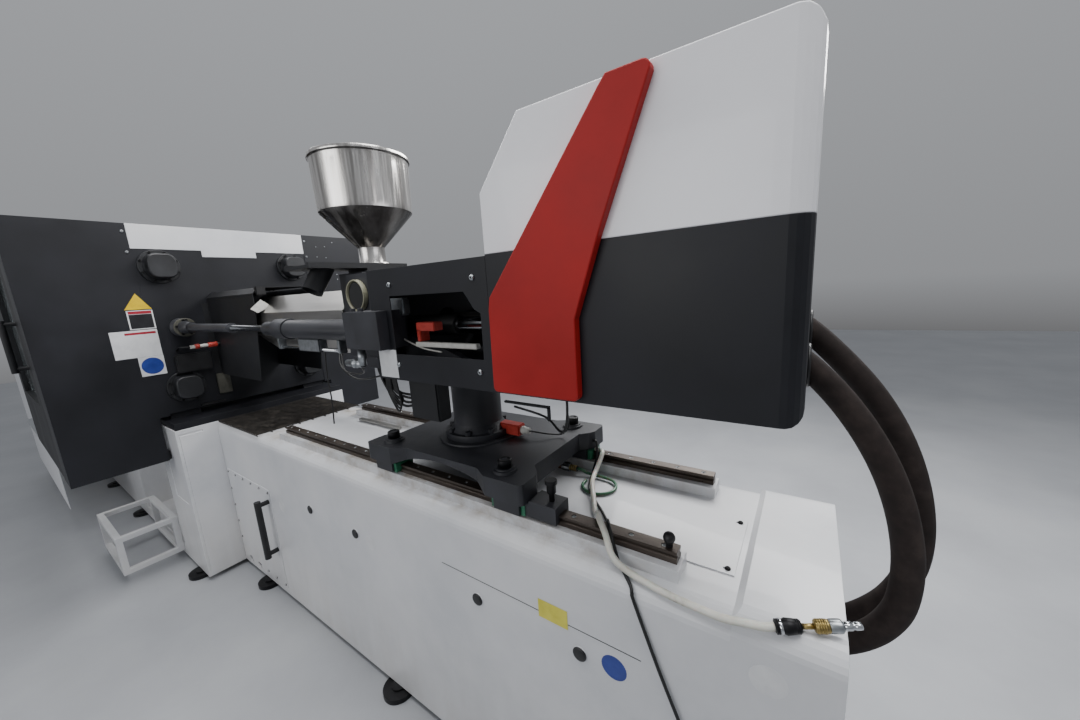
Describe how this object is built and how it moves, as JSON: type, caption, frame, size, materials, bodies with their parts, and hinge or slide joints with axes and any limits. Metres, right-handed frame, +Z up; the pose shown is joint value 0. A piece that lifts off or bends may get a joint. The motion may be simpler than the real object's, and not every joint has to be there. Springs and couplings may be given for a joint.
{
  "type": "injection moulding machine",
  "caption": "Horizontal injection moulding machine: closed clamp housing with sliding gates, long white base, injection unit on rails with hopper, barrel guard and rear cover.",
  "frame": {"origin": "on the floor, in the machine's mid-plane, halfway between the rear face of the injection base and the end face of the clamp housing", "axes": "+X along the machine towards the injection end, -Y towards the operator's side, +Z up; the barrel axis is parallel to X at Y = 0, 1.5 m up"},
  "size_m": [6.777, 1.858, 2.15],
  "materials": {
    "white_enamel": "satin enamel",
    "dark_enamel": "fine textured enamel",
    "red_enamel": "satin enamel",
    "cast_dark": "painted casting",
    "cast_cover": "painted casting",
    "bright_steel": "ground",
    "chromed_rod": "hard chromed",
    "stainless": "brushed",
    "zinc_sheet": "zinc plated",
    "rail_steel": "oiled",
    "black_oxide": "black oxide",
    "bronze": "machined",
    "black_plastic": "moulded",
    "green_seal": "moulded",
    "cap_plastic": "moulded",
    "clear_sheet": "clear",
    "hose_foam": "foam rubber sleeve",
    "air_vinyl": "milky vinyl",
    "brass": "turned",
    "cable_rubber": "smooth rubber",
    "green_vinyl": "smooth vinyl"
  },
  "bodies": {
    "machine": {"injection_base": "white_enamel", "tray_plate": "white_enamel", "drip_grating": "black_oxide", "access_panel": "white_enamel", "access_handle": "black_plastic", "near_rail": "rail_steel", "far_rail": "rail_steel", "rail_stop": "black_plastic", "levelling_feet": "black_oxide", "clamp_base": "white_enamel", "operator_step": "white_enamel", "guide_ways": "bright_steel", "fixed_platen": "cast_dark", "tie_bars": "chromed_rod", "tie_bar_nuts": "black_oxide", "nut_covers": "cast_cover", "cylinder_platen": "cast_dark", "white_strip": "white_enamel", "front_panels": "dark_enamel", "guard_frame": "dark_enamel", "side_guards": "dark_enamel", "gate_tracks": "zinc_sheet", "traverse_rods": "chromed_rod", "nozzle_guard": "dark_enamel", "near_hose": "hose_foam", "far_hose": "hose_foam", "air_hose": "air_vinyl", "air_coupling": "brass", "sensor_cable": "cable_rubber", "cable_coil": "cable_rubber", "cable_plug": "black_plastic"},
    "clamp": {"moving_platen": "cast_dark", "platen_shoes": "bronze", "ram": "chromed_rod"},
    "ejector_unit": {"ejector": "bright_steel"},
    "near_door": {"near_gate": "dark_enamel", "near_gate_window": "clear_sheet"},
    "far_door": {"far_gate": "dark_enamel", "far_gate_window": "clear_sheet"},
    "nozzle_lid": {"nozzle_guard_lid": "dark_enamel"},
    "carriage": {"carriage_casting": "cast_dark", "bearing_blocks": "black_oxide", "block_seals": "green_seal", "column": "cast_dark", "injection_housing": "cast_dark", "barrel": "bright_steel", "barrel_guard": "stainless", "traverse_cylinders": "cast_dark", "round_cap": "cap_plastic", "hopper_slide": "dark_enamel", "guide_rods": "chromed_rod", "beam_panels": "dark_enamel", "lower_cover": "dark_enamel", "upper_cover": "white_enamel", "red_bands": "red_enamel", "drain_hose": "green_vinyl"},
    "screw_drive": {"crosshead": "cast_dark"},
    "screw_shaft": {"screw": "bright_steel"},
    "hopper_body": {"hopper": "stainless"},
    "lock": {"lock_pin": "black_oxide"}
  },
  "joints": [
    {"name": "clamp_close", "type": "slide", "parent": "machine", "child": "clamp", "axis": [1, 0, 0], "range_m": [0, 0.7]},
    {"name": "ejector_push", "type": "slide", "parent": "clamp", "child": "ejector_unit", "axis": [1, 0, 0], "range_m": [0, 0.12]},
    {"name": "near_door_slide", "type": "slide", "parent": "machine", "child": "near_door", "axis": [-1, 0, 0], "range_m": [0, 1]},
    {"name": "far_door_slide", "type": "slide", "parent": "machine", "child": "far_door", "axis": [-1, 0, 0], "range_m": [0, 1]},
    {"name": "nozzle_lid_hinge", "type": "hinge", "parent": "machine", "child": "nozzle_lid", "pos_m": [0.5, 0.173, 1.66], "axis": [-1, 0, 0], "range_deg": [0, 95]},
    {"name": "carriage_slide", "type": "slide", "parent": "machine", "child": "carriage", "axis": [-1, 0, 0], "range_m": [0, 0.37], "deforming": ["near_hose", "far_hose", "air_hose", "sensor_cable"]},
    {"name": "screw_inject", "type": "slide", "parent": "carriage", "child": "screw_drive", "axis": [-1, 0, 0], "range_m": [0, 0.2]},
    {"name": "screw_turn", "type": "hinge", "parent": "screw_drive", "child": "screw_shaft", "pos_m": [2.6, 0, 1.5], "axis": [1, 0, 0], "continuous": true},
    {"name": "hopper_shift", "type": "slide", "parent": "carriage", "child": "hopper_body", "axis": [0, -1, 0], "range_m": [0, 0.205]},
    {"name": "lock_pin_lift", "type": "slide", "parent": "carriage", "child": "lock", "axis": [0, 0, 1], "range_m": [0, 0.02], "stiffness_N_per_m": 400}
  ]
}
